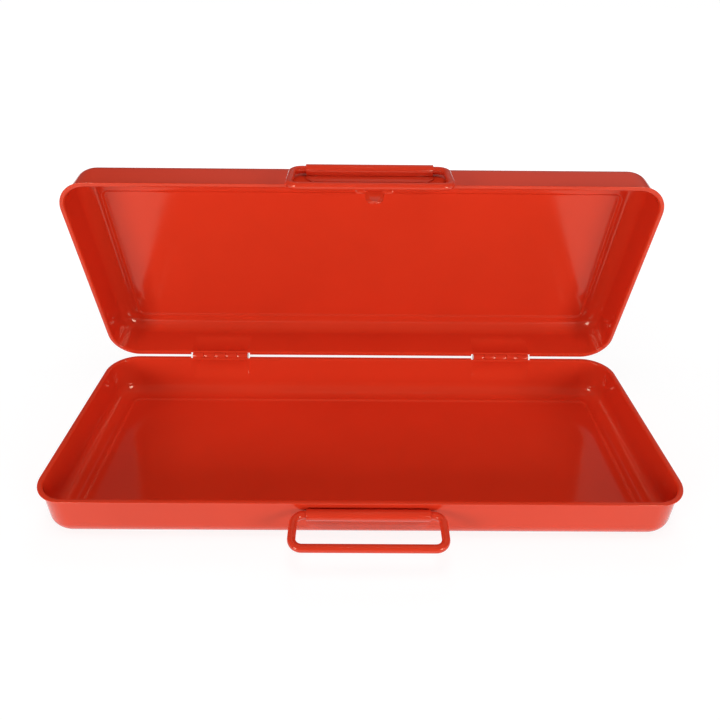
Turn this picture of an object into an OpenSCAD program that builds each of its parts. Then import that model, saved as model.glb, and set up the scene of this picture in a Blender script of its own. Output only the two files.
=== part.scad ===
// Flat hinged steel tool case: two pressed shells, two butt hinges, two wire bails.
// Units are millimetres. X runs along the case, the handles face -Y, Z is up.
// The origin is the centre of the underside of the base's embossed panel.

/* [Case] */
// Length of both shells over the rim lip
case_length = 440; // [400:5:480]
// Depth of both shells over the rim lip, front to hinge side
case_depth = 172; // [150:2:200]
// Height of the base from the border of its floor to its rim
base_height = 36; // [34:1:48]
// Height of the lid from the border of its panel to its rim
lid_height = 36; // [32:1:48]
// Thickness of the pressed sheet
sheet = 1.0; // [0.8:0.1:1.2]
// How far the rim lip stands out from the wall
lip_width = 2.5; // [2:0.1:3]
// Plan radius of the case corners at the lip's edge
corner_radius = 23; // [18:1:30]
// Outer radius of the bend between wall and floor
edge_radius = 12; // [8:1:13]
// Space between the two rims when the lid is shut
rim_gap = 0.6; // [0.4:0.1:1]

/* [Embossed panels] */
// How far the centre panels are pressed outwards
emboss_depth = 1.2; // [0.8:0.1:2]
// From the lip's edge at the case ends to the panel
emboss_end_margin = 16.5; // [16:0.5:40]
// From the lip's edge at the front to the panel
emboss_front_margin = 26.5; // [16:0.5:40]
// From the lip's edge at the hinge side to the panel
emboss_hinge_margin = 16; // [16:0.5:40]
// Plan radius of the panel's corners
emboss_corner = 6; // [6:0.5:8]

/* [Lid pose] */
// How far the lid stands open, from shut
lid_open_angle = 78; // [60:1:95]

/* [Hinges] */
// Distance between the middles of the two hinges
hinge_spacing = 251; // [180:1:290]
// Length of each hinge
hinge_length = 49; // [40:1:60]
// Diameter of the hinge pins
pin_diameter = 4; // [3:0.1:4.4]
// Radial clearance of a pin in its knuckles
pin_clearance = 0.05; // [0.02:0.01:0.1]
// Thickness of the hinge leaves
leaf_thickness = 1.2; // [0.8:0.1:1.4]
// From the hinge axis to the free edge of a leaf
leaf_reach = 17.3; // [12:0.1:20]
// Side gap between neighbouring knuckles
knuckle_gap = 0.2; // [0.1:0.05:0.4]
// Gap between a barrel and the wall behind it
barrel_gap = 0.15; // [0.1:0.05:0.4]
// Gap between the notch in the lips and the hinge's ends
notch_clearance = 1.8; // [0.5:0.1:3]

/* [Handles] */
// How far the handles sit to the right of the middle
handle_offset = 5; // [-20:1:20]
// Diameter of the bail wire
wire_diameter = 5.5; // [4.5:0.1:5.8]
// Radial clearance of the wire in its rolled strip
wire_clearance = 0.10; // [0.05:0.01:0.1]
// Thickness of the strips that hold the bails
strip = 1.0; // [0.8:0.1:1.2]
// Chamfer on the flange corners of the strips
flange_chamfer = 4.5; // [2:0.5:6]
// Centre-line radius of the bends in the bails
bend_radius = 7; // [6:0.5:9]
// Gap between the roll of a strip and the start of a bend
bend_gap = 1.25; // [0.5:0.25:3]
// From the base's rim down to the bail's axis
base_roll_drop = 9; // [7:0.1:10]
// From the bail's axis down to the base flange's edge
base_flange_reach = 17; // [12:0.2:17]
// Length of the base's strip
base_strip_length = 82; // [60:1:82]
// From axis to bar of the base bail
base_bail_reach = 25.1; // [22:0.1:25.3]
// How far the base bail droops below level
base_bail_droop = 4.5; // [0:0.1:12]
// From the lid's rim to the lid bail's axis
lid_roll_rise = 19; // [16:0.1:19.8]
// From the bail's axis to the lid flange's edge
lid_flange_reach = 11.8; // [8:0.2:14]
// Length of the lid's strip
lid_strip_length = 92; // [90:1:104]
// Side gap between a base bail and a lid bail that nests over it
nest_gap = 1; // [0.5:0.05:4]
// From axis to bar of the lid bail
lid_bail_reach = 35.7; // [34.8:0.1:38]
// How far the lid bail stands off the lid's front wall
lid_bail_lift = 10.8; // [9:0.1:15]

/* [Catch] */
// How far the catch sits to the right of the middle
catch_offset = 8.4; // [-20:0.2:20]
// Width of the catch where it is fixed in the lid
catch_root_width = 28; // [20:0.5:34]
// How far the root of the catch runs up the lid's wall
catch_root_height = 18; // [10:0.5:20]
// Width of the tongue
catch_width = 15; // [12.6:0.1:18]
// Width of the tongue's rounded tip
catch_tip_width = 12.4; // [8:0.2:12.4]
// How far the tongue reaches past the lid's rim
catch_reach = 14; // [8:0.2:16]
// Thickness of the catch
catch_sheet = 1.0; // [0.8:0.1:1.2]
// Gap between the tongue and the base's wall when shut
catch_setback = 1.2; // [1:0.1:2]

/* [Hidden] */
$fn = 96;
// half sizes and planes of the shells
half_length = case_length / 2;
half_depth = case_depth / 2;
wall_radius = corner_radius - lip_width;
floor_radius = wall_radius - edge_radius;
centre_x = half_length - corner_radius;
centre_y = half_depth - corner_radius;
wall_y = half_depth - lip_width;
base_rim_z = emboss_depth + base_height;
lid_rim_z = base_rim_z + rim_gap;
closed_height = lid_rim_z + lid_height + emboss_depth;
// hinges
pin_radius = pin_diameter / 2;
bore_radius = pin_radius + pin_clearance;
barrel_radius = bore_radius + leaf_thickness;
hinge_y = wall_y + barrel_gap + barrel_radius;
hinge_z = base_rim_z + rim_gap / 2;
knuckles = 5;
knuckle_pitch = hinge_length / knuckles;
leaf_edge = barrel_radius + 3 * barrel_gap;
notch_length = hinge_length + 2 * notch_clearance;
// handles
wire_radius = wire_diameter / 2;
roll_bore = wire_radius + wire_clearance;
roll_radius = roll_bore + strip;
roll_y = -wall_y - roll_radius;
base_roll_z = base_rim_z - base_roll_drop;
lid_roll_z = lid_rim_z + lid_roll_rise;
base_bail_half = base_strip_length / 2 + bend_gap + bend_radius;
lid_bail_half = base_bail_half + wire_diameter + nest_gap;
// catch
tongue_y = -wall_y + sheet + catch_setback;
tip_radius = catch_tip_width / 2;
tip_z = lid_rim_z - catch_reach;
joggle = 2 * catch_sheet;
// cutters run past a face by this much
eps = 0.5;
paint = [0.82, 0.18, 0.10];
paint_dark = [0.70, 0.14, 0.09];
steel = [0.62, 0.60, 0.58];

// Carries a piece of the lid from its shut place to where the lid stands open.
module lid_pose() {
  translate([0, hinge_y, hinge_z])
    rotate([-lid_open_angle, 0, 0])
      translate([0, -hinge_y, -hinge_z])
        children();
}

// Rounded rectangle lying on z = 0, centred on x and y.
module rounded_plate(length, depth, radius, thickness) {
  linear_extrude(thickness)
    union() {
      square([length - 2 * radius, depth], center = true);
      square([length, depth - 2 * radius], center = true);
      for (sx = [-1, 1]) {
        for (sy = [-1, 1]) {
          translate([sx * (length / 2 - radius), sy * (depth / 2 - radius)])
            circle(radius);
        }
      }
    }
}

// Section of lip, wall and bend; x is measured outwards from the corner's centre.
module wall_profile(height) {
  translate([floor_radius, edge_radius])
    intersection() {
      difference() {
        circle(edge_radius);
        circle(edge_radius - sheet);
      }
      translate([0, -edge_radius])
        square([edge_radius, edge_radius]);
    }
  translate([wall_radius - sheet, edge_radius])
    square([sheet, height - edge_radius]);
  translate([wall_radius - sheet, height - sheet])
    square([sheet + lip_width, sheet]);
}

// Four straight sides and four round corners of one shell.
module shell_sides(height) {
  for (s = [0, 1]) {
    rotate([0, 0, 180 * s])
      translate([centre_x, 0, 0])
        rotate([90, 0, 0])
          linear_extrude(2 * centre_y, center = true)
            wall_profile(height);
    rotate([0, 0, 90 + 180 * s])
      translate([centre_y, 0, 0])
        rotate([90, 0, 0])
          linear_extrude(2 * centre_x, center = true)
            wall_profile(height);
  }
  for (sx = [-1, 1]) {
    for (sy = [-1, 1]) {
      translate([sx * centre_x, sy * centre_y, 0])
        rotate([0, 0, sy > 0 ? (sx > 0 ? 0 : 90) : (sx > 0 ? 270 : 180)])
          rotate_extrude(angle = 90)
            wall_profile(height);
    }
  }
}

// Floor with its embossed panel; rear is the local y direction of the hinges.
module shell_floor(rear) {
  panel_length = case_length - 2 * emboss_end_margin;
  panel_depth = case_depth - emboss_front_margin - emboss_hinge_margin;
  panel_y = rear * (emboss_front_margin - emboss_hinge_margin) / 2;
  difference() {
    union() {
      translate([0, 0, emboss_depth])
        rounded_plate(2 * (centre_x + floor_radius), 2 * (centre_y + floor_radius),
          floor_radius, sheet);
      translate([0, panel_y, 0])
        rounded_plate(panel_length, panel_depth, emboss_corner, emboss_depth + sheet);
    }
    translate([0, panel_y, sheet])
      rounded_plate(panel_length - 2 * sheet, panel_depth - 2 * sheet,
        emboss_corner - sheet, emboss_depth + sheet);
  }
}

// One pressed shell standing on its embossed panel, lips notched for the hinges.
module shell(height, rear) {
  difference() {
    union() {
      translate([0, 0, emboss_depth])
        shell_sides(height);
      shell_floor(rear);
    }
    for (sx = [-1, 1]) {
      translate([sx * hinge_spacing / 2, rear * (wall_y + lip_width / 2 + eps / 2),
        emboss_depth + height - sheet / 2])
        cube([notch_length, lip_width + eps, sheet + 2 * eps], center = true);
    }
  }
}

// Hinge leaf about its axis: side -1 hangs below the axis, side +1 stands above it.
module hinge_leaf(side, own) {
  difference() {
    union() {
      translate([-hinge_length / 2, -barrel_radius - barrel_gap,
        side > 0 ? leaf_edge : -leaf_reach])
        cube([hinge_length, leaf_thickness, leaf_reach - leaf_edge]);
      for (k = own) {
        translate([(k - (knuckles - 1) / 2) * knuckle_pitch, 0, 0]) {
          rotate([0, 90, 0])
            cylinder(h = knuckle_pitch - knuckle_gap, r = barrel_radius, center = true);
          translate([-(knuckle_pitch - knuckle_gap) / 2, -barrel_radius - barrel_gap,
            side > 0 ? 0 : -leaf_edge - eps])
            cube([knuckle_pitch - knuckle_gap, leaf_thickness, leaf_edge + eps]);
        }
      }
    }
    rotate([0, 90, 0])
      cylinder(h = hinge_length + 2 * eps, r = bore_radius, center = true);
  }
}

// Pin along the hinge axis.
module hinge_pin() {
  rotate([0, 90, 0])
    cylinder(h = hinge_length - knuckle_gap, r = pin_radius, center = true);
}

// Places a hinge piece on the axis, left (-1) or right (+1).
module at_hinge(side) {
  translate([side * hinge_spacing / 2, hinge_y, hinge_z])
    children();
}

// Strip rolled round the wire's axis, its flange running down the wall behind.
module rolled_strip(length, reach) {
  difference() {
    union() {
      rotate([0, 90, 0])
        cylinder(h = length, r = roll_radius, center = true);
      translate([0, roll_radius, 0])
        rotate([90, 0, 0])
          linear_extrude(strip)
            polygon([
              [-length / 2, 0],
              [length / 2, 0],
              [length / 2, flange_chamfer - reach],
              [length / 2 - flange_chamfer, -reach],
              [flange_chamfer - length / 2, -reach],
              [-length / 2, flange_chamfer - reach]
            ]);
    }
    rotate([0, 90, 0])
      cylinder(h = length + 2 * eps, r = roll_bore, center = true);
  }
}

// Closed wire rectangle: axle on the x axis, bar at y = -reach.
module bail(half, reach) {
  for (y = [0, -reach]) {
    translate([0, y, 0])
      rotate([0, 90, 0])
        cylinder(h = 2 * (half - bend_radius), r = wire_radius, center = true);
  }
  for (sx = [-1, 1]) {
    translate([sx * half, -reach / 2, 0])
      rotate([90, 0, 0])
        cylinder(h = reach - 2 * bend_radius, r = wire_radius, center = true);
    translate([sx * (half - bend_radius), -bend_radius, 0])
      rotate([0, 0, sx > 0 ? 0 : 90])
        rotate_extrude(angle = 90)
          translate([bend_radius, 0])
            circle(wire_radius);
    translate([sx * (half - bend_radius), bend_radius - reach, 0])
      rotate([0, 0, sx > 0 ? 270 : 180])
        rotate_extrude(angle = 90)
          translate([bend_radius, 0])
            circle(wire_radius);
  }
}

// Pressed tray of the case.
module base_shell() {
  color(paint)
    shell(base_height, 1);
}

// Pressed lid, turned over and opened.
module lid_shell() {
  color(paint)
    lid_pose()
      translate([0, 0, closed_height])
        rotate([180, 0, 0])
          shell(lid_height, -1);
}

// Left hinge leaf on the base's rear wall.
module left_hinge_base_leaf() {
  color(paint_dark)
    at_hinge(-1)
      hinge_leaf(-1, [0, 2, 4]);
}

// Right hinge leaf on the base's rear wall.
module right_hinge_base_leaf() {
  color(paint_dark)
    at_hinge(1)
      hinge_leaf(-1, [0, 2, 4]);
}

// Left hinge leaf on the lid's rear wall.
module left_hinge_lid_leaf() {
  color(paint_dark)
    lid_pose()
      at_hinge(-1)
        hinge_leaf(1, [1, 3]);
}

// Right hinge leaf on the lid's rear wall.
module right_hinge_lid_leaf() {
  color(paint_dark)
    lid_pose()
      at_hinge(1)
        hinge_leaf(1, [1, 3]);
}

// Pin of the left hinge.
module left_hinge_pin() {
  color(steel)
    at_hinge(-1)
      hinge_pin();
}

// Pin of the right hinge.
module right_hinge_pin() {
  color(steel)
    at_hinge(1)
      hinge_pin();
}

// Strip that holds the bail on the base's front wall.
module base_handle_bracket() {
  color(paint_dark)
    translate([handle_offset, roll_y, base_roll_z])
      rolled_strip(base_strip_length, base_flange_reach);
}

// Wire bail of the base, standing out and drooping a little.
module base_bail() {
  color(paint_dark)
    translate([handle_offset, roll_y, base_roll_z])
      rotate([base_bail_droop, 0, 0])
        bail(base_bail_half, base_bail_reach);
}

// Strip that holds the bail on the lid's front wall, flange towards the rim.
module lid_handle_bracket() {
  color(paint_dark)
    lid_pose()
      translate([handle_offset, roll_y, lid_roll_z])
        rolled_strip(lid_strip_length, lid_flange_reach);
}

// Wire bail of the lid, folded towards the rim.
module lid_bail() {
  color(paint_dark)
    lid_pose()
      translate([handle_offset, roll_y, lid_roll_z])
        rotate([90 - lid_bail_lift, 0, 0])
          bail(lid_bail_half, lid_bail_reach);
}

// Catch fixed inside the lid's front wall, its tongue reaching past the rim.
module catch_tongue() {
  color(paint)
    lid_pose()
      union() {
        translate([catch_offset - catch_root_width / 2, -wall_y + sheet, lid_rim_z])
          cube([catch_root_width, catch_sheet, catch_root_height]);
        translate([catch_offset - catch_width / 2, -wall_y + sheet, lid_rim_z])
          cube([catch_width, catch_setback + catch_sheet, joggle]);
        translate([catch_offset, tongue_y + catch_sheet, 0])
          rotate([90, 0, 0])
            linear_extrude(catch_sheet)
              union() {
                polygon([
                  [-catch_width / 2, lid_rim_z + joggle],
                  [-tip_radius, tip_z + tip_radius],
                  [tip_radius, tip_z + tip_radius],
                  [catch_width / 2, lid_rim_z + joggle]
                ]);
                translate([0, tip_z + tip_radius])
                  circle(tip_radius);
              }
      }
}

base_shell();
lid_shell();
left_hinge_base_leaf();
right_hinge_base_leaf();
left_hinge_lid_leaf();
right_hinge_lid_leaf();
left_hinge_pin();
right_hinge_pin();
base_handle_bracket();
base_bail();
lid_handle_bracket();
lid_bail();
catch_tongue();
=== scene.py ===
import math
import bpy
import bmesh
from mathutils import Matrix, Vector


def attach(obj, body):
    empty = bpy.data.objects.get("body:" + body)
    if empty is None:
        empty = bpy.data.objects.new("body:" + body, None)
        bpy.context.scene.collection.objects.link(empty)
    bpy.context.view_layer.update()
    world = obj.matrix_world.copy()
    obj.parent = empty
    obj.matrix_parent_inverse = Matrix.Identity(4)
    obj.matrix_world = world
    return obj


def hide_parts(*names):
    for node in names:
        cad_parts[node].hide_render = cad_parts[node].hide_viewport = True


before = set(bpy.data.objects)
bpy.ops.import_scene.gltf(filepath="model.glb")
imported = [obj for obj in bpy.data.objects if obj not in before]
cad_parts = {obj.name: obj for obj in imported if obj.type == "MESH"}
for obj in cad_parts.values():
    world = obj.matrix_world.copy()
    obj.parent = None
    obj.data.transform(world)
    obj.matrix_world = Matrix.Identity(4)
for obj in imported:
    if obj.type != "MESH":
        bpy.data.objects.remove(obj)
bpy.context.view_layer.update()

# Tray of the case: one sheet of 1 mm steel drawn into a shallow pan, its floor panel
# pressed outwards, its rim folded out into a flat lip that is cut away at both hinges.
# Sprayed with bright red gloss enamel and stoved. Sizes here and below are millimetres.
SHELL = {
    "half_length": 220.0, "half_depth": 86.0, "corner": 23.0, "rim": 37.2, "sheet": 1.0,
    "lip": 2.5, "lip_fillet": 0.5, "cut_edge": 0.35, "bend": 12.0, "inner_bend": 1.4,
    "panel_x": 203.5, "panel_y": 64.75, "panel_shift": 5.25, "panel_corner": 6.0,
    "border": 1.2, "step_width": 2.0,
    "hinge_pad_press": 0.35, "hinge_pad_foot": 20.0, "hinge_pad_full": 20.8,
}
HINGE_X = 125.5
NOTCH_HALF = 26.3
RED_ENAMEL = "#DD3A1F"
SHARP_ANGLE = 50


def linear(hex_colour):
    """Blender's linear colour for an sRGB hex colour."""
    def channel(text):
        c = int(text, 16) / 255
        return c / 12.92 if c <= 0.04045 else ((c + 0.055) / 1.055) ** 2.4
    return tuple(channel(hex_colour[i:i + 2]) for i in (1, 3, 5)) + (1.0,)


def add_node(tree, kind, links=None, **settings):
    """Adds one node with its settings; links maps an input to a value or an output."""
    node = tree.nodes.new(kind)
    for name, value in settings.items():
        setattr(node, name, value)
    for key, value in (links or {}).items():
        if isinstance(value, bpy.types.NodeSocket):
            tree.links.new(value, node.inputs[key])
        else:
            node.inputs[key].default_value = value
    return node


def empty_finish(name):
    """An empty material: returns it, its tree and the piece's own coordinates."""
    material = bpy.data.materials.new(name)
    material.use_nodes = True
    tree = material.node_tree
    tree.nodes.clear()
    return material, tree, add_node(tree, "ShaderNodeTexCoord").outputs["Object"]


def enamel(name, colour, roughness, orange_peel, ripple):
    """Gloss enamel with an orange peel over the sheet's long ripples, heights in metres."""
    material, tree, place = empty_finish(name)
    # uneven film: the colour drifts a little over hand-sized patches of about 110 mm
    cloud = add_node(tree, "ShaderNodeTexNoise",
                     {"Vector": place, "Scale": 9.0, "Detail": 3.0, "Roughness": 0.55})
    tint = add_node(tree, "ShaderNodeMapRange",
                    {"Value": cloud.outputs["Fac"], "From Min": 0.3, "From Max": 0.7,
                     "To Min": 0.955, "To Max": 1.035})
    value = add_node(tree, "ShaderNodeHueSaturation",
                     {"Color": linear(colour), "Value": tint.outputs["Result"]})
    # roughness wanders slightly over some 18 mm, as on a hand-sprayed coat
    grain = add_node(tree, "ShaderNodeTexNoise",
                     {"Vector": place, "Scale": 55.0, "Detail": 4.0, "Roughness": 0.6})
    rough = add_node(tree, "ShaderNodeMapRange",
                     {"Value": grain.outputs["Fac"], "From Min": 0.3, "From Max": 0.7,
                      "To Min": roughness * 0.88, "To Max": roughness * 1.14})
    # orange peel drawn 2.4 mm wide, coarser than the real one so that it shows
    peel = add_node(tree, "ShaderNodeTexNoise",
                    {"Vector": place, "Scale": 420.0, "Detail": 2.0, "Roughness": 0.5})
    # the thin sheet isn't quite flat: waves about 90 mm long bend the reflections
    wave = add_node(tree, "ShaderNodeTexNoise",
                    {"Vector": place, "Scale": 11.0, "Detail": 1.0, "Roughness": 0.4})
    long_bump = add_node(tree, "ShaderNodeBump",
                         {"Strength": 1.0, "Distance": ripple, "Height": wave.outputs["Fac"]})
    fine_bump = add_node(tree, "ShaderNodeBump",
                         {"Strength": 1.0, "Distance": orange_peel,
                          "Height": peel.outputs["Fac"], "Normal": long_bump.outputs["Normal"]})
    # painted reflection: the warm specular tint stands in for the red light the case throws back
    # onto the white floor that its gloss mirrors
    shader = add_node(tree, "ShaderNodeBsdfPrincipled",
                      {"Base Color": value.outputs["Color"], "Roughness": rough.outputs["Result"],
                       "Metallic": 0.0, "IOR": 1.5, "Specular Tint": (1.0, 0.88, 0.66, 1.0),
                       "Normal": fine_bump.outputs["Normal"]})
    add_node(tree, "ShaderNodeOutputMaterial", {"Surface": shader.outputs["BSDF"]})
    return material


def arc(start, end, steps):
    """Angles in radians from one angle to another, both given in degrees."""
    return [math.radians(start + (end - start) * i / steps) for i in range(steps + 1)]


def eased(t):
    """Rises from 0 to 1 without a kink at either end."""
    return 3 * t * t - 2 * t ** 3


def plan(half_x, half_y, radius, shift, columns):
    """Rounded rectangle seen from above, anticlockwise from the middle of its right end."""
    points = []
    for k, (sx, sy) in enumerate(((1, 1), (-1, 1), (-1, -1), (1, -1))):
        cx, cy = sx * (half_x - radius), sy * (half_y - radius)
        for a in arc(90 * k, 90 * k + 90, 14):
            points.append((cx + radius * math.cos(a), cy + radius * math.sin(a) + shift, None))
        if k == 0:
            points += [(x, half_y + shift, tag) for x, tag in reversed(columns)]
        elif k == 2:
            points += [(x, -half_y + shift, None) for x, tag in columns]
    return points


def shell_columns():
    """Stations along the long sides; the tag says what the hinge does to the rim there."""
    outside, cut, pad, flat = -1.2, 1.1, 1.9, 6.0
    columns = []
    for side in (-1, 1):
        west, east = side * HINGE_X - NOTCH_HALF, side * HINGE_X + NOTCH_HALF
        columns += [(west + outside, "plain"), (west, "plain"), (west, "notch"),
                    (west + cut, "notch"), (west + pad, "pad"), (west + flat, "pad"),
                    (east - flat, "pad"), (east - pad, "pad"), (east - cut, "notch"),
                    (east, "notch"), (east, "plain"), (east - outside, "plain")]
    return columns


def shell_rings():
    """Section from the middle of the underside, up the wall and back: (kind, a, z).

    a counts outwards from the panel's edge on a panel ring, inwards from the rim's on others.
    """
    s = SHELL
    rim, lip, bend, border, sheet = s["rim"], s["lip"], s["bend"], s["border"], s["sheet"]
    fillet, cut, inner_bend, step = (s["lip_fillet"], s["cut_edge"], s["inner_bend"],
                                     s["step_width"])
    # a ring this far from a bend keeps the flat sheet beside it flat
    guard = 0.5
    middle = -5.0
    under_start, top_start = -1.0, -1.8
    rings = [("panel", middle, 0.0), ("panel", -1.7, 0.0)]
    for i in range(9):
        t = i / 8
        rings.append(("panel", under_start + step * t, border * eased(t)))
    rings += [("panel", 1.6, border), ("rim", bend + lip + guard, border)]
    for a in arc(0, 90, 14):
        rings.append(("rim", lip + bend - bend * math.sin(a),
                      border + bend - bend * math.cos(a)))
    rings += [("rim", lip, border + bend + guard), ("rim", lip, rim - sheet - fillet - 0.4)]
    for a in arc(0, 90, 4):
        rings.append(("rim", lip - fillet + fillet * math.cos(a),
                      rim - sheet - fillet + fillet * math.sin(a)))
    for start, height in ((-90, rim - sheet + cut), (0, rim - cut)):
        for a in arc(start, start + 90, 4):
            rings.append(("rim", cut - cut * math.cos(a), height + cut * math.sin(a)))
    for a in arc(90, 0, 8):
        rings.append(("rim", lip + sheet - inner_bend + inner_bend * math.cos(a),
                      rim - inner_bend + inner_bend * math.sin(a)))
    inside = lip + sheet
    rings += [("inner", inside, rim - inner_bend - guard), ("inner", inside, s["hinge_pad_full"]),
              ("rim", inside, s["hinge_pad_foot"]), ("rim", inside, border + bend + guard)]
    for a in arc(90, 0, 14):
        rings.append(("rim", lip + bend - (bend - sheet) * math.sin(a),
                      border + bend - (bend - sheet) * math.cos(a)))
    rings += [("rim", bend + lip + guard, border + sheet), ("panel", 0.9, border + sheet)]
    for i in range(9):
        t = 1 - i / 8
        rings.append(("panel", top_start + step * t, sheet + border * eased(t)))
    rings += [("panel", -2.5, sheet), ("panel", middle, sheet)]
    return rings


def bridge(mesh, first, second):
    """Joins two closed loops of equal length with a belt of four-sided faces."""
    for i in range(len(first)):
        j = (i + 1) % len(first)
        mesh.faces.new((first[i], first[j], second[j], second[i]))


def as_data(mesh, name):
    """Turns a finished bmesh into mesh data."""
    data = bpy.data.meshes.new(name)
    mesh.to_mesh(data)
    mesh.free()
    return data


def pressed_shell(name):
    """Closed mesh of one pressed shell, standing on its panel."""
    s = SHELL
    columns = shell_columns()
    # where the cut through the lip leaves the inner bend
    notch_top = s["rim"] - s["inner_bend"] + math.sqrt(
        s["inner_bend"] ** 2 - (s["inner_bend"] - s["sheet"]) ** 2)
    # a tiny rise keeps the rings apart that the cut pushes onto the wall
    rise = 0.02
    mesh = bmesh.new()
    loops = []
    for kind, a, z in shell_rings():
        if kind == "panel":
            points = plan(s["panel_x"] + a, s["panel_y"] + a, s["panel_corner"] + a,
                          s["panel_shift"], columns)
        else:
            points = plan(s["half_length"] - a, s["half_depth"] - a, s["corner"] - a, 0.0,
                          columns)
        loop = []
        for x, y, tag in points:
            height = z
            if kind != "panel" and tag in ("notch", "pad") and a < s["lip"]:
                y = s["half_depth"] - s["lip"]
                height = min(z + rise * (s["lip"] - a), notch_top)
            if kind == "inner" and tag == "pad":
                y += s["hinge_pad_press"]
            loop.append(mesh.verts.new((x, y, height)))
        loops.append(loop)
    for lower, upper in zip(loops, loops[1:]):
        bridge(mesh, lower, upper)
    mesh.faces.new(list(reversed(loops[0])))
    mesh.faces.new(loops[-1])
    bmesh.ops.remove_doubles(mesh, verts=mesh.verts, dist=0.00005)
    bmesh.ops.recalc_face_normals(mesh, faces=mesh.faces)
    return as_data(mesh, name)


def finished(name, data, material, soft_angle=SHARP_ANGLE):
    """Puts a mesh made in millimetres into the scene in metres, with its finish."""
    data.transform(Matrix.Scale(0.001, 4))
    data.shade_smooth()
    data.set_sharp_from_angle(angle=math.radians(soft_angle))
    data.materials.clear()
    data.materials.append(material)
    piece = bpy.data.objects.new(name, data)
    bpy.context.scene.collection.objects.link(piece)
    return piece


# red stoving enamel, sprayed and baked on drawn steel: high gloss with a fine orange peel
red_enamel = enamel("red_stoving_enamel_sprayed_on_drawn_steel", RED_ENAMEL,
                    roughness=0.11, orange_peel=0.00001, ripple=0.0005)
tray = finished("tray_shell", pressed_shell("tray_shell"), red_enamel)
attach(tray, "base")
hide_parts("base_shell")

# Lid: a second drawing from the same tool, turned over and hinged on the rear edge.
# It stands 78 degrees open. The same enamel from the same batch.
CLOSED_HEIGHT = 75.0
HINGE_Y = 86.9
HINGE_Z = 37.5
LID_OPEN = 78.0

upside_down = Matrix.Diagonal((1, 1, -1, 1))
lid_swing = (Matrix.Translation((0, HINGE_Y, HINGE_Z))
             @ Matrix.Rotation(math.radians(-LID_OPEN), 4, "X")
             @ Matrix.Translation((0, -HINGE_Y, -HINGE_Z)))
lid_data = pressed_shell("lid_shell_skin")
lid_data.transform(lid_swing @ Matrix.Translation((0, 0, CLOSED_HEIGHT)) @ upside_down)
lid_data.flip_normals()
lid = finished("lid_pan", lid_data, red_enamel)
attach(lid, "lid")
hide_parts("lid_shell")

# Catch: a small tongue of 1 mm steel spot-welded inside the lid's front wall. Its shoulders
# end at the rim, its sides fold back a little to stiffen it, and its rounded tip springs
# behind the tray's wall when the case is shut. "flat" and "blend" are shares of half its width.
CATCH = {"x": 8.4, "sheet": 1.0, "wall": -82.5, "rim": 37.8,
         "root": 14.0, "root_top": 55.8, "root_corner": 2.5, "shoulder": 2.0,
         "half": 7.5, "flare": 2.6, "tip": 6.2, "tip_z": 23.8, "tip_flat": 0.9,
         "set": 1.2, "joggle": 1.8, "fold": 1.2, "flat": 0.55, "blend": 0.25}
CATCH_EDGE = 0.00042


def lost_to_corner(radius, depth):
    """How much width a rounded corner takes away at a depth into it."""
    return radius - math.sqrt(max(0.0, radius ** 2 - max(0.0, depth) ** 2))


def catch_outline():
    """Half widths of the tongue from its root down to its tip: (z, half)."""
    c = CATCH
    rim, tip = c["rim"], c["tip"]
    rows = []
    for above in (18.0, 17.2, 12.2, 7.2, 3.2, 2.0, 1.4, 0.9, 0.4, 0.0):
        z = rim + above
        corner = lost_to_corner(c["root_corner"], z - (c["root_top"] - c["root_corner"]))
        rows.append((z, c["root"] - corner - lost_to_corner(c["shoulder"],
                                                             c["shoulder"] - above)))
    neck_top, neck_low = rim - 0.05, c["tip_z"] + tip
    steps = 10
    for i in range(steps + 1):
        t = i / steps
        flare = c["flare"] * max(0.0, 1 - 5 * t) ** 2
        rows.append((neck_top - (neck_top - neck_low) * t,
                     c["half"] + (tip - c["half"]) * t + flare))
    for a in arc(0, 90, 12)[1:]:
        rows.append((neck_low - tip * math.sin(a), max(tip * math.cos(a), c["tip_flat"])))
    return rows


def catch_mesh():
    """Tongue in closed place, as a grid that follows its outline, joggle and folded sides."""
    c = CATCH
    across = 24
    mesh = bmesh.new()
    skins = []
    for depth in (0.0, c["sheet"]):
        grid = []
        for z, half in catch_outline():
            below = (c["rim"] + c["joggle"] - z) / c["joggle"]
            joggle = eased(min(1.0, max(0.0, below)))
            line = []
            for k in range(across + 1):
                u = -1 + 2 * k / across
                past = max(0.0, abs(u) - c["flat"])
                folded = c["fold"] * past / (1 - c["flat"]) * min(1.0, past / c["blend"])
                y = c["wall"] + depth + (c["set"] + folded) * joggle
                line.append(mesh.verts.new((c["x"] + u * half, y, z)))
            grid.append(line)
        skins.append(grid)
    for grid in skins:
        for a, b in zip(grid, grid[1:]):
            for k in range(across):
                mesh.faces.new((a[k], a[k + 1], b[k + 1], b[k]))
    front, back = (grid[0] + [row[-1] for row in grid[1:]] + grid[-1][-2::-1]
                   + [row[0] for row in grid[-2:0:-1]] for grid in skins)
    bridge(mesh, front, back)
    bmesh.ops.recalc_face_normals(mesh, faces=mesh.faces)
    return as_data(mesh, "catch")


def soften(piece, width, segments):
    """Rounds the cut edges of a sheet piece, as the enamel does, and fixes the result."""
    bevel = piece.modifiers.new("rounded_edges", "BEVEL")
    bevel.width = width
    bevel.segments = segments
    bevel.limit_method = "ANGLE"
    bevel.angle_limit = math.radians(SHARP_ANGLE)
    bpy.context.view_layer.update()
    shaped = bpy.data.meshes.new_from_object(
        piece.evaluated_get(bpy.context.evaluated_depsgraph_get()))
    piece.modifiers.clear()
    piece.data = shaped
    piece.data.shade_smooth()
    piece.data.set_sharp_from_angle(angle=math.radians(SHARP_ANGLE))


catch_data = catch_mesh()
catch_data.transform(lid_swing)
catch = finished("catch_spring_tongue", catch_data, red_enamel)
soften(catch, CATCH_EDGE, 4)
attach(catch, "lid")
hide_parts("catch_tongue")

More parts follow.
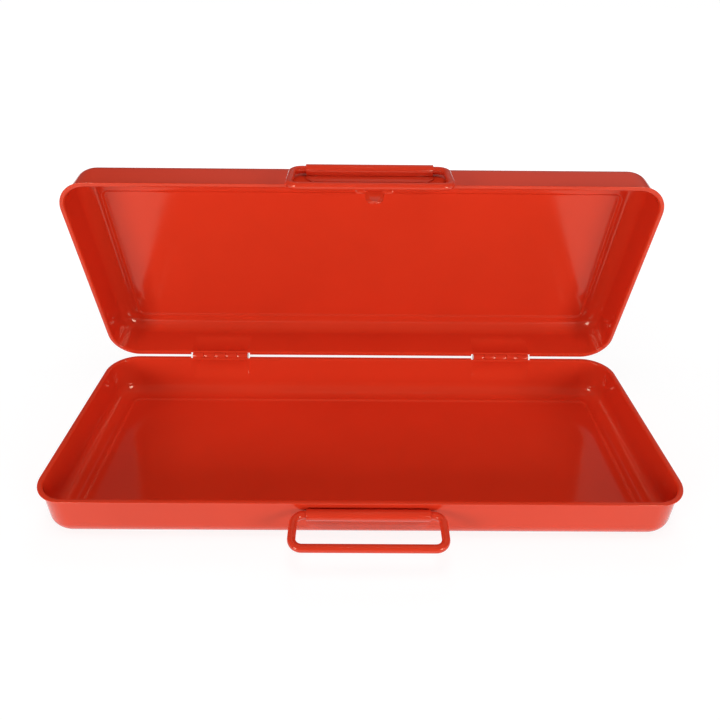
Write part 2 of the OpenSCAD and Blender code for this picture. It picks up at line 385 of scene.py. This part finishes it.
# Two butt hinges: leaves of 1.2 mm steel rolled round a 4 mm pin, three knuckles on the
# tray's leaf and two on the lid's, spot-welded to the rear walls and enamelled with the case.
LEAF = {"length": 49.0, "sheet": 1.2, "bore": 2.05, "turn": 302, "knuckles": 5, "gap": 0.2,
        "wall": -2.8, "notch": 3.7, "reach": 17.3, "crop": 2.2, "crop_height": 2.8}
LEAF_EDGE = 0.0002


def bent_sheet(path, sheet, spans):
    """Closed sheet bent along a path in the y-z plane; spans gives x limits per point."""
    mesh = bmesh.new()
    lines = []
    for i, (y, z) in enumerate(path):
        before, after = path[max(0, i - 1)], path[min(len(path) - 1, i + 1)]
        dy, dz = after[0] - before[0], after[1] - before[1]
        size = math.hypot(dy, dz)
        ny, nz = -dz / size * sheet / 2, dy / size * sheet / 2
        x0, x1 = spans[i]
        lines.append([mesh.verts.new((x, y + s * ny, z + s * nz))
                      for x, s in ((x0, 1), (x1, 1), (x1, -1), (x0, -1))])
    for a, b in zip(lines, lines[1:]):
        bridge(mesh, a, b)
    mesh.faces.new(lines[0])
    mesh.faces.new(list(reversed(lines[-1])))
    bmesh.ops.recalc_face_normals(mesh, faces=mesh.faces)
    return as_data(mesh, "bent_sheet")


def open_tree(name, sizes, carried=None):
    """A node tree with named inputs: returns it, their outputs and the sizes to set."""
    tree = bpy.data.node_groups.new(name, "GeometryNodeTree")
    tree.interface.new_socket("Geometry", in_out="OUTPUT", socket_type="NodeSocketGeometry")
    if carried:
        tree.interface.new_socket(carried, in_out="INPUT", socket_type="NodeSocketGeometry")
    sockets = {}
    for label, value in sizes.items():
        kind = "NodeSocketInt" if isinstance(value, int) else "NodeSocketFloat"
        item = tree.interface.new_socket(label, in_out="INPUT", socket_type=kind)
        sockets[item.identifier] = value
    return tree, add_node(tree, "NodeGroupInput").outputs, sockets


def close_tree(tree, shape, material):
    """Ends a node tree with real geometry that carries its material."""
    real = add_node(tree, "GeometryNodeRealizeInstances", {"Geometry": shape})
    coat = add_node(tree, "GeometryNodeSetMaterial",
                    {"Geometry": real.outputs["Geometry"], "Material": material})
    add_node(tree, "NodeGroupOutput", {"Geometry": coat.outputs["Geometry"]})


def knuckle_row(count, pitch, start, material):
    """Node tree: sets copies of one rolled knuckle side by side along the pin."""
    tree, given, sockets = open_tree("knuckles_along_pin",
                                     {"Count": count, "Pitch": pitch, "Start": start}, "Knuckle")
    step = add_node(tree, "ShaderNodeCombineXYZ", {"X": given["Pitch"]})
    first = add_node(tree, "ShaderNodeCombineXYZ", {"X": given["Start"]})
    line = add_node(tree, "GeometryNodeMeshLine",
                    {"Count": given["Count"], "Start Location": first.outputs["Vector"],
                     "Offset": step.outputs["Vector"]}, mode="OFFSET")
    copies = add_node(tree, "GeometryNodeInstanceOnPoints",
                      {"Points": line.outputs["Mesh"], "Instance": given["Knuckle"]})
    close_tree(tree, copies.outputs["Instances"], material)
    return tree, sockets


def grown(name, tree, sockets, start_mesh=None):
    """Runs a node tree on a carrier object and returns its result as a plain mesh."""
    carrier = bpy.data.objects.new(name, start_mesh or bpy.data.meshes.new(name))
    bpy.context.scene.collection.objects.link(carrier)
    modifier = carrier.modifiers.new("shape", "NODES")
    modifier.node_group = tree
    for identifier, value in sockets.items():
        modifier[identifier] = value
    carrier.update_tag()
    bpy.context.view_layer.update()
    data = bpy.data.meshes.new_from_object(
        carrier.evaluated_get(bpy.context.evaluated_depsgraph_get()))
    carrier.modifiers.clear()
    bpy.data.objects.remove(carrier)
    return data


def leaf_mesh(own, material):
    """One leaf about its axis, plate hanging below; own lists its knuckles."""
    p = LEAF
    wall, notch, sheet = p["wall"], p["notch"], p["sheet"]
    pitch = p["length"] / p["knuckles"]
    width = pitch - p["gap"]
    middle = p["bore"] + sheet / 2
    curl = [(wall, -notch), (wall, -2.2), (wall + 0.08, -1.0)]
    curl += [(middle * math.cos(a), middle * math.sin(a))
             for a in arc(180, 180 - p["turn"], 28)]
    knuckle = bent_sheet(curl, sheet, [(-width / 2, width / 2)] * len(curl))
    first = (own[0] - (p["knuckles"] - 1) / 2) * pitch
    tree, sockets = knuckle_row(len(own), (own[1] - own[0]) * pitch, first, material)
    rolled = grown("knuckles", tree, sockets, knuckle)
    # the plate's two lower corners are cropped
    half = p["length"] / 2
    foot, crop = -p["reach"], p["crop"]
    heights = (-notch, -9.0, foot + p["crop_height"], foot + 0.01, foot)
    cuts = (0.0, 0.0, 0.0, crop, crop + 0.4)
    plate = bent_sheet([(wall, z) for z in heights], sheet,
                       [(cut - half, half - cut) for cut in cuts])
    joined = bmesh.new()
    joined.from_mesh(rolled)
    joined.from_mesh(plate)
    return as_data(joined, "leaf")


# the same enamel on the fittings: thicker on small folded parts, so a touch softer in gloss
fitting_enamel = enamel("red_stoving_enamel_on_folded_fittings", "#DB3920",
                        roughness=0.14, orange_peel=0.000003, ripple=0.00004)
for label, side in (("left", -1), ("right", 1)):
    place = Matrix.Translation((side * HINGE_X, HINGE_Y, HINGE_Z))
    for body, own in (("base", [0, 2, 4]), ("lid", [1, 3])):
        data = leaf_mesh(own, fitting_enamel)
        if body == "lid":
            data.transform(lid_swing @ place @ upside_down)
            data.flip_normals()
        else:
            data.transform(place)
        leaf = finished(label + "_" + body + "_hinge_leaf", data, fitting_enamel)
        soften(leaf, LEAF_EDGE, 2)
        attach(leaf, body)
        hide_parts(label + "_hinge_" + body + "_leaf")

# Hinge pins: 4 mm bright drawn wire cut to length, ends slightly rounded by the cropping
# tool, pressed into the outer knuckles. Their ends show as two small steel discs.
PIN = {"length": 48.8, "radius": 2.0, "chamfer": 0.4}


def drawn_steel(name):
    """Bright drawn steel with fine lengthwise lines and a little tarnish."""
    material, tree, place = empty_finish(name)
    # drawing lines 0.4 mm apart and 25 mm long, tarnish in blotches of about 3 mm
    stretch = add_node(tree, "ShaderNodeMapping", {"Vector": place, "Scale": (40, 2600, 2600)})
    lines = add_node(tree, "ShaderNodeTexNoise",
                     {"Vector": stretch.outputs["Vector"], "Scale": 1.0, "Detail": 3.0})
    blotch = add_node(tree, "ShaderNodeTexNoise",
                      {"Vector": place, "Scale": 300.0, "Detail": 3.0})
    tarnish = add_node(tree, "ShaderNodeMapRange",
                       {"Value": blotch.outputs["Fac"], "From Min": 0.45, "From Max": 0.7})
    shade = add_node(tree, "ShaderNodeMix", {"Factor": tarnish.outputs["Result"]},
                     data_type="RGBA")
    shade.inputs["A"].default_value = linear("#C9C6C1")
    shade.inputs["B"].default_value = linear("#A39C92")
    rough = add_node(tree, "ShaderNodeMapRange",
                     {"Value": lines.outputs["Fac"], "To Min": 0.22, "To Max": 0.42})
    bump = add_node(tree, "ShaderNodeBump",
                    {"Strength": 0.4, "Distance": 0.00002, "Height": lines.outputs["Fac"]})
    shader = add_node(tree, "ShaderNodeBsdfPrincipled",
                      {"Base Color": shade.outputs["Result"], "Metallic": 1.0,
                       "Roughness": rough.outputs["Result"], "Normal": bump.outputs["Normal"]})
    add_node(tree, "ShaderNodeOutputMaterial", {"Surface": shader.outputs["BSDF"]})
    return material


def cropped_rod(sizes, material):
    """Node tree: a rod along x whose profile runs down to a small chamfer at both ends."""
    tree, given, sockets = open_tree("cropped_rod", {"Length": sizes["length"],
                                                     "Radius": sizes["radius"],
                                                     "Chamfer": sizes["chamfer"]})
    half = add_node(tree, "ShaderNodeMath", {0: given["Length"], 1: 0.5}, operation="MULTIPLY")
    back = add_node(tree, "ShaderNodeMath", {0: half.outputs[0], 1: -1.0}, operation="MULTIPLY")
    start = add_node(tree, "ShaderNodeCombineXYZ", {"X": back.outputs[0]})
    end = add_node(tree, "ShaderNodeCombineXYZ", {"X": half.outputs[0]})
    line = add_node(tree, "GeometryNodeCurvePrimitiveLine",
                    {"Start": start.outputs["Vector"], "End": end.outputs["Vector"]})
    fine = add_node(tree, "GeometryNodeResampleCurve",
                    {"Curve": line.outputs["Curve"], "Count": 123})
    # the radius loses what is left of the chamfer at each point's distance from the end
    spot = add_node(tree, "GeometryNodeInputPosition")
    along = add_node(tree, "ShaderNodeSeparateXYZ", {"Vector": spot.outputs["Position"]})
    far = add_node(tree, "ShaderNodeMath", {0: along.outputs["X"]}, operation="ABSOLUTE")
    left = add_node(tree, "ShaderNodeMath", {0: half.outputs[0], 1: far.outputs[0]},
                    operation="SUBTRACT")
    inside = add_node(tree, "ShaderNodeMath", {0: left.outputs[0], 1: given["Chamfer"]},
                      operation="MINIMUM")
    lost = add_node(tree, "ShaderNodeMath", {0: given["Chamfer"], 1: inside.outputs[0]},
                    operation="SUBTRACT")
    size = add_node(tree, "ShaderNodeMath", {0: given["Radius"], 1: lost.outputs[0]},
                    operation="SUBTRACT")
    ring = add_node(tree, "GeometryNodeCurvePrimitiveCircle", {"Resolution": 32, "Radius": 1.0})
    tube = add_node(tree, "GeometryNodeCurveToMesh",
                    {"Curve": fine.outputs["Curve"], "Profile Curve": ring.outputs["Curve"],
                     "Scale": size.outputs[0], "Fill Caps": True})
    close_tree(tree, tube.outputs["Mesh"], material)
    return tree, sockets


# bright drawn steel: cropped from wire, never painted inside the knuckles
pin_steel = drawn_steel("bright_drawn_steel_wire")
for label, side in (("left", -1), ("right", 1)):
    tree, sockets = cropped_rod(PIN, pin_steel)
    data = grown("pin", tree, sockets)
    data.transform(Matrix.Translation((side * HINGE_X, HINGE_Y, HINGE_Z)))
    pin = finished(label + "_pin", data, pin_steel, 40)
    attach(pin, "base")
    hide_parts(label + "_hinge_pin")

# Handle straps: 1 mm steel strips rolled round the bail's wire, the flange left flat with
# two cropped corners and spot-welded to the front wall. One on the tray, a longer one on
# the lid with its flange towards the rim.
HANDLE_X = 5.0
ROLL_Y = -87.35
TRAY_ROLL_Z = 28.2
LID_ROLL_Z = 56.8
STRAP = {"sheet": 1.0, "bore": 2.85, "crop": 4.5, "turn": 262.0, "press": 0.25}
STRAP_EDGE = 0.00022
# name, body, height of the roll, length, reach of the flange, node
STRAPS = (("tray_handle_strap", "base", TRAY_ROLL_Z, 82.0, 17.0, "base_handle_bracket"),
          ("lid_handle_strap", "lid", LID_ROLL_Z, 92.0, 11.8, "lid_handle_bracket"))


def strap_mesh(length, reach):
    """Strap about its axis: flange hanging below, roll closed back onto the flange."""
    sheet, crop, half = STRAP["sheet"], STRAP["crop"], length / 2
    middle = STRAP["bore"] + sheet / 2
    # the flange, up from its cropped corners
    path = [(middle, crop * i / 5 - reach) for i in range(6)]
    spans = [(crop * (1 - i / 5) - half, half - crop * (1 - i / 5)) for i in range(6)]
    path += [(middle, crop - reach + 0.6), (middle, -1.2)]
    # the roll
    path += [(middle * math.cos(a), middle * math.sin(a)) for a in arc(0, STRAP["turn"], 40)]
    # the strip's end runs straight on and is pressed onto the flange
    last = math.radians(STRAP["turn"])
    (y, z), ahead_y, ahead_z = path[-1], -math.sin(last), math.cos(last)
    run = (middle - sheet + STRAP["press"] - y) / ahead_y
    path += [(y + run * part * ahead_y, z + run * part * ahead_z) for part in (0.5, 1.0)]
    spans += [(-half, half)] * (len(path) - len(spans))
    return bent_sheet(path, sheet, spans)


for name, body, height, length, reach, node in STRAPS:
    data = strap_mesh(length, reach)
    data.transform(Matrix.Translation((HANDLE_X, ROLL_Y, height)))
    if body == "lid":
        data.transform(lid_swing)
    strap = finished(name, data, fitting_enamel)
    soften(strap, STRAP_EDGE, 2)
    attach(strap, body)
    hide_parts(node)

# Bails: 5.5 mm wire bent to a rectangle, its ends meeting inside the strap. The lid's is
# wider, so it nests over the tray's when the case is shut. Enamelled with the case.
WIRE = 5.5
BEND = 7.0
# name, body, height of the pivot, degrees swung forward, half width, reach
BAILS = (("tray_bail", "base_bail", TRAY_ROLL_Z, 4.5, 49.25, 25.1),
         ("lid_bail_wire", "lid_bail", LID_ROLL_Z, 79.2, 55.75, 35.7))


def wire_bail(width, reach, material):
    """Node tree: round wire swept along a rectangle with bent corners."""
    tree, given, sockets = open_tree("bent_wire_bail", {"Width": width, "Reach": reach,
                                                        "Bend Radius": BEND,
                                                        "Wire Radius": WIRE / 2})
    outline = add_node(tree, "GeometryNodeCurvePrimitiveQuadrilateral",
                       {"Width": given["Width"], "Height": given["Reach"]}, mode="RECTANGLE")
    bent = add_node(tree, "GeometryNodeFilletCurve",
                    {"Curve": outline.outputs["Curve"], "Radius": given["Bend Radius"],
                     "Count": 12}, mode="POLY")
    ring = add_node(tree, "GeometryNodeCurvePrimitiveCircle",
                    {"Resolution": 32, "Radius": given["Wire Radius"]})
    tube = add_node(tree, "GeometryNodeCurveToMesh",
                    {"Curve": bent.outputs["Curve"], "Profile Curve": ring.outputs["Curve"]})
    # hung from the middle of its upper side
    down = add_node(tree, "ShaderNodeMath", {0: given["Reach"], 1: -0.5}, operation="MULTIPLY")
    shift = add_node(tree, "ShaderNodeCombineXYZ", {"Y": down.outputs[0]})
    hung = add_node(tree, "GeometryNodeTransform",
                    {"Geometry": tube.outputs["Mesh"], "Translation": shift.outputs["Vector"]})
    close_tree(tree, hung.outputs["Geometry"], material)
    return tree, sockets


for name, body, height, swung, half, reach in BAILS:
    tree, sockets = wire_bail(2 * half, reach, fitting_enamel)
    data = grown(name, tree, sockets)
    data.transform(Matrix.Translation((HANDLE_X, ROLL_Y, height))
                   @ Matrix.Rotation(math.radians(swung), 4, "X"))
    if body == "lid_bail":
        data.transform(lid_swing)
    bail = finished(name, data, fitting_enamel)
    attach(bail, body)
    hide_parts(body)

# Floor: a plain sheet of white paper, level with the underside, that carries the case's
# faint shadow. From here on, sizes are metres.
FLOOR_SIZE = 6.0
FLOOR_DROP = 0.0002
FLOOR_WHITE = "#F6F6F6"
SHADOW_GREY = 0.22
GLOW = {"From Min": 0.3, "From Max": 0.9, "To Min": 0.85, "To Max": 1.0}
WHITE = (1, 1, 1, 1)


def white_floor():
    """Paper to the light; to the camera and reflections nearly white, its shadow on top.

    The white rises to full with the distance from the case, given by GLOW in metres.
    """
    material, tree, place = empty_finish("plain_white_paper_sweep")
    path = add_node(tree, "ShaderNodeLightPath")
    seen = add_node(tree, "ShaderNodeMath", {0: path.outputs["Is Camera Ray"],
                                             1: path.outputs["Is Glossy Ray"]},
                    operation="MAXIMUM")
    seen = add_node(tree, "ShaderNodeMath", {0: seen.outputs[0],
                                             1: path.outputs["Is Transmission Ray"]},
                    operation="MAXIMUM")
    paper = add_node(tree, "ShaderNodeBsdfDiffuse", {"Color": linear(FLOOR_WHITE)})
    shadowed = add_node(tree, "ShaderNodeBsdfDiffuse", {"Color": (SHADOW_GREY,) * 3 + (1,)})
    away = add_node(tree, "ShaderNodeVectorMath", {0: place}, operation="LENGTH")
    lift = add_node(tree, "ShaderNodeMapRange", {"Value": away.outputs["Value"], **GLOW},
                    interpolation_type="SMOOTHSTEP")
    glow = add_node(tree, "ShaderNodeEmission",
                    {"Color": WHITE, "Strength": lift.outputs["Result"]})
    both = add_node(tree, "ShaderNodeAddShader", {0: shadowed.outputs[0], 1: glow.outputs[0]})
    mix = add_node(tree, "ShaderNodeMixShader", {0: seen.outputs[0], 1: paper.outputs[0],
                                                 2: both.outputs[0]})
    add_node(tree, "ShaderNodeOutputMaterial", {"Surface": mix.outputs[0]})
    return material


floor_mesh = bmesh.new()
bmesh.ops.create_grid(floor_mesh, x_segments=2, y_segments=2, size=FLOOR_SIZE)
floor_data = as_data(floor_mesh, "floor")
floor_data.transform(Matrix.Translation((0, 0, -FLOOR_DROP)))
floor_data.materials.append(white_floor())
floor = bpy.data.objects.new("floor", floor_data)
bpy.context.scene.collection.objects.link(floor)

# Sky: white to the camera. It lights the case dimly, and more from one soft patch high
# behind its right side.
PATCH_TOWARDS = (0.25, 0.62, 0.74)
PATCH = {"From Min": 0.70, "From Max": 1.0, "To Min": 0.1, "To Max": 0.34}

world = bpy.data.worlds.new("dim_sky_with_soft_patch")
world.use_nodes = True
tree = world.node_tree
tree.nodes.clear()
path = add_node(tree, "ShaderNodeLightPath")
aim = add_node(tree, "ShaderNodeTexCoord").outputs["Generated"]
near = add_node(tree, "ShaderNodeVectorMath", {0: aim, 1: PATCH_TOWARDS},
                operation="DOT_PRODUCT")
sky = add_node(tree, "ShaderNodeMapRange", {"Value": near.outputs["Value"], **PATCH},
               interpolation_type="SMOOTHSTEP")
soft = add_node(tree, "ShaderNodeBackground", {"Color": WHITE, "Strength": sky.outputs["Result"]})
white = add_node(tree, "ShaderNodeBackground", {"Color": WHITE, "Strength": 1.0})
mix = add_node(tree, "ShaderNodeMixShader", {0: path.outputs["Is Camera Ray"],
                                             1: soft.outputs[0], 2: white.outputs[0]})
add_node(tree, "ShaderNodeOutputWorld", {"Surface": mix.outputs[0]})
bpy.context.scene.world = world

# Lamps: two low soft boxes in front that the gloss shows, and weak fills all round.
# name, bearing and lift in degrees, watts, shown in the gloss
LAMPS = (("left_soft_box", -42, 12, 7.2, True), ("right_soft_box", 42, 12, 7.0, True),
         ("overhead_fill", 0, 78, 4.2, False), ("left_fill", -85, 30, 1.1, False),
         ("right_fill", 85, 30, 0.7, False), ("rear_fill", 180, 60, 1.6, False),
         ("rear_low_fill", 180, 18, 3.0, False))
LAMP_TARGET = Vector((0, 0, 0.08))
LAMP_AWAY = 1.3
LAMP_SIZE = 0.45

for name, bearing, lift, power, mirrored in LAMPS:
    lamp = bpy.data.lights.new(name, "AREA")
    lamp.shape = "SQUARE"
    lamp.size, lamp.energy = LAMP_SIZE, power
    aside, high = math.radians(bearing), math.radians(lift)
    away = Vector((math.cos(high) * math.sin(aside), -math.cos(high) * math.cos(aside),
                   math.sin(high)))
    holder = bpy.data.objects.new(name, lamp)
    holder.location = LAMP_TARGET + LAMP_AWAY * away
    holder.rotation_euler = away.to_track_quat("Z", "Y").to_euler()
    holder.visible_glossy = mirrored
    bpy.context.scene.collection.objects.link(holder)

# Camera: the photograph's place, tilt and lens, found from the case's corners.
EYE = (-0.003046, -0.366832, 0.341237)
AHEAD = Vector((0.004568, 0.857883, -0.513825)).normalized()
ROLL = math.radians(0.54)
LENS_MM = 30.337
LENS_SHIFT = (-0.00032, -0.0473)

level = Vector((AHEAD.y, -AHEAD.x, 0)).normalized()
up = level.cross(AHEAD)
right = math.cos(ROLL) * level + math.sin(ROLL) * up
top = -math.sin(ROLL) * level + math.cos(ROLL) * up
lens = bpy.data.cameras.new("photo_view")
lens.sensor_width = 36.0
lens.lens = LENS_MM
lens.shift_x, lens.shift_y = LENS_SHIFT
lens.clip_start = 0.01
camera = bpy.data.objects.new("photo_view", lens)
camera.matrix_world = (Matrix.Translation(EYE)
                       @ Matrix((right, top, -AHEAD)).transposed().to_4x4())
bpy.context.scene.collection.objects.link(camera)
bpy.context.scene.camera = camera
bpy.context.scene.view_settings.view_transform = "Standard"
